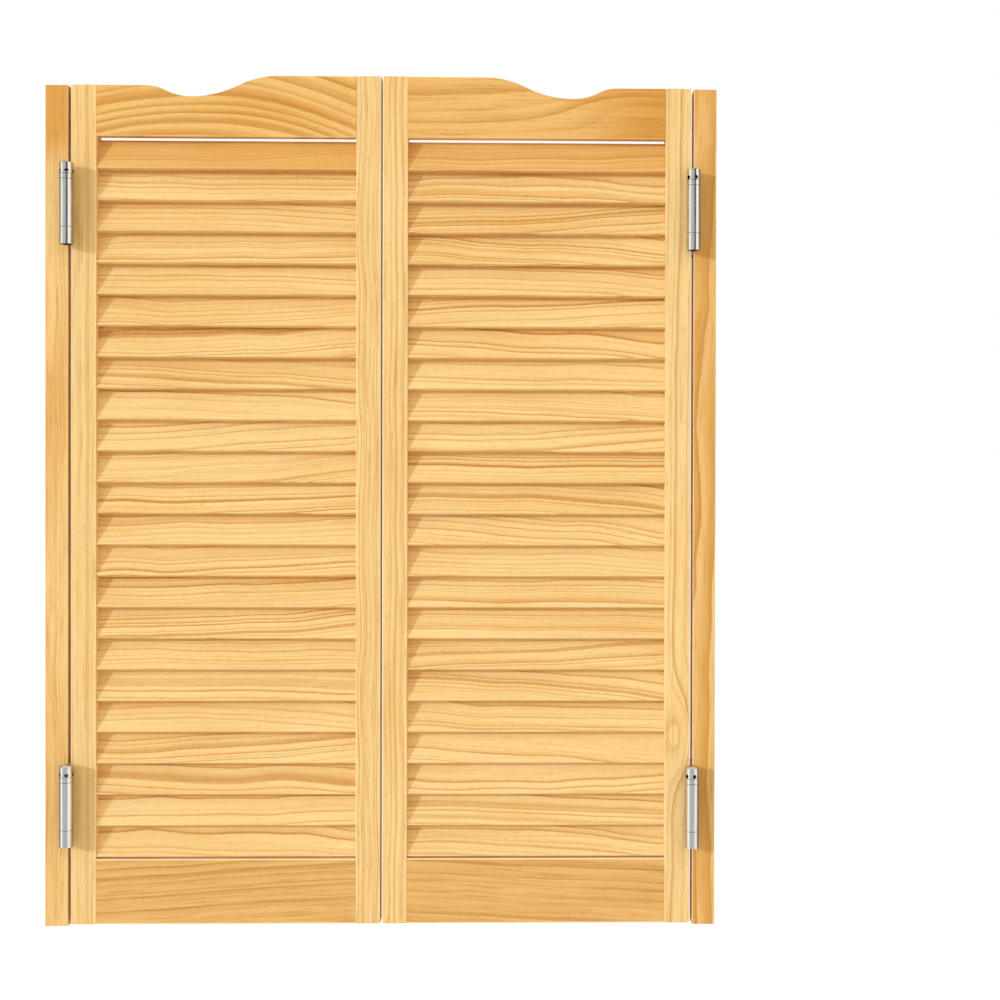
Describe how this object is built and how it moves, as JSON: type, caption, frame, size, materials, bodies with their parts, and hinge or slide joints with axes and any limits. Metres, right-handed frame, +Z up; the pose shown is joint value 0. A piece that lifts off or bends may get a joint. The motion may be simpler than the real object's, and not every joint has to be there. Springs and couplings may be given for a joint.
{
  "type": "cafe swinging doors",
  "caption": "Short louvred swinging doors with scalloped tops, hung between wooden jamb strips on double-action spring hinges that open both ways and close by themselves.",
  "frame": {"origin": "half way between the doors and half way through their thickness, on the line of the jamb strips' feet", "axes": "+X to the right seen from the front, +Y to the back, +Z up along the jamb strips"},
  "size_m": [0.8428, 0.069, 1.0688],
  "materials": {
    "jamb_pine": "clear satin varnish on knotty pine",
    "stile_pine": "clear satin varnish on straight-grained pine",
    "rail_pine": "clear satin varnish on pine",
    "slat_pine": "clear satin varnish on finger-jointed pine",
    "dowel_beech": "bare",
    "plate_nickel": "satin nickel plate",
    "turned_nickel": "turned, satin nickel plate",
    "spring_steel": "oiled spring steel",
    "screw_steel": "bright zinc plate",
    "pin_steel": "bright zinc plate"
  },
  "bodies": {
    "jambs": {"left_jamb_leaf_screws": "screw_steel", "left_jamb_stop_pins": "pin_steel", "left_jamb_strip": "jamb_pine", "left_lower_jamb_collar": "turned_nickel", "left_lower_jamb_leaf": "plate_nickel", "left_lower_jamb_spindle": "turned_nickel", "left_upper_jamb_collar": "turned_nickel", "left_upper_jamb_leaf": "plate_nickel", "left_upper_jamb_spindle": "turned_nickel", "right_jamb_leaf_screws": "screw_steel", "right_jamb_stop_pins": "pin_steel", "right_jamb_strip": "jamb_pine", "right_lower_jamb_collar": "turned_nickel", "right_lower_jamb_leaf": "plate_nickel", "right_lower_jamb_spindle": "turned_nickel", "right_upper_jamb_collar": "turned_nickel", "right_upper_jamb_leaf": "plate_nickel", "right_upper_jamb_spindle": "turned_nickel"},
    "left_hinge_webs": {"left_lower_door_spring": "spring_steel", "left_lower_jamb_spring": "spring_steel", "left_lower_web": "plate_nickel", "left_upper_door_spring": "spring_steel", "left_upper_jamb_spring": "spring_steel", "left_upper_web": "plate_nickel"},
    "left_door": {"left_bottom_rail": "rail_pine", "left_door_leaf_screws": "screw_steel", "left_door_stop_pins": "pin_steel", "left_dowels": "dowel_beech", "left_hinge_stile": "stile_pine", "left_louvre_slats": "slat_pine", "left_lower_door_collar": "turned_nickel", "left_lower_door_leaf": "plate_nickel", "left_lower_door_spindle": "turned_nickel", "left_meeting_stile": "stile_pine", "left_top_rail": "rail_pine", "left_upper_door_collar": "turned_nickel", "left_upper_door_leaf": "plate_nickel", "left_upper_door_spindle": "turned_nickel"},
    "right_hinge_webs": {"right_lower_door_spring": "spring_steel", "right_lower_jamb_spring": "spring_steel", "right_lower_web": "plate_nickel", "right_upper_door_spring": "spring_steel", "right_upper_jamb_spring": "spring_steel", "right_upper_web": "plate_nickel"},
    "right_door": {"right_bottom_rail": "rail_pine", "right_door_leaf_screws": "screw_steel", "right_door_stop_pins": "pin_steel", "right_dowels": "dowel_beech", "right_hinge_stile": "stile_pine", "right_louvre_slats": "slat_pine", "right_lower_door_collar": "turned_nickel", "right_lower_door_leaf": "plate_nickel", "right_lower_door_spindle": "turned_nickel", "right_meeting_stile": "stile_pine", "right_top_rail": "rail_pine", "right_upper_door_collar": "turned_nickel", "right_upper_door_leaf": "plate_nickel", "right_upper_door_spindle": "turned_nickel"}
  },
  "joints": [
    {"name": "left_back_swing", "type": "hinge", "parent": "jambs", "child": "left_hinge_webs", "pos_m": [-0.39105, 0.026, 0.5275], "axis": [0, 0, 1], "range_deg": [0, 110], "stiffness_Nm_per_rad": 1.2, "springref_deg": -17.19},
    {"name": "left_front_swing", "type": "hinge", "parent": "left_hinge_webs", "child": "left_door", "pos_m": [-0.39105, -0.026, 0.5275], "axis": [0, 0, 1], "range_deg": [-110, 0], "stiffness_Nm_per_rad": 1.2, "springref_deg": 17.19},
    {"name": "right_front_swing", "type": "hinge", "parent": "jambs", "child": "right_hinge_webs", "pos_m": [0.39105, -0.026, 0.5275], "axis": [0, 0, 1], "range_deg": [0, 110], "stiffness_Nm_per_rad": 1.2, "springref_deg": -17.19},
    {"name": "right_back_swing", "type": "hinge", "parent": "right_hinge_webs", "child": "right_door", "pos_m": [0.39105, 0.026, 0.5275], "axis": [0, 0, 1], "range_deg": [-110, 0], "stiffness_Nm_per_rad": 1.2, "springref_deg": 17.19}
  ]
}
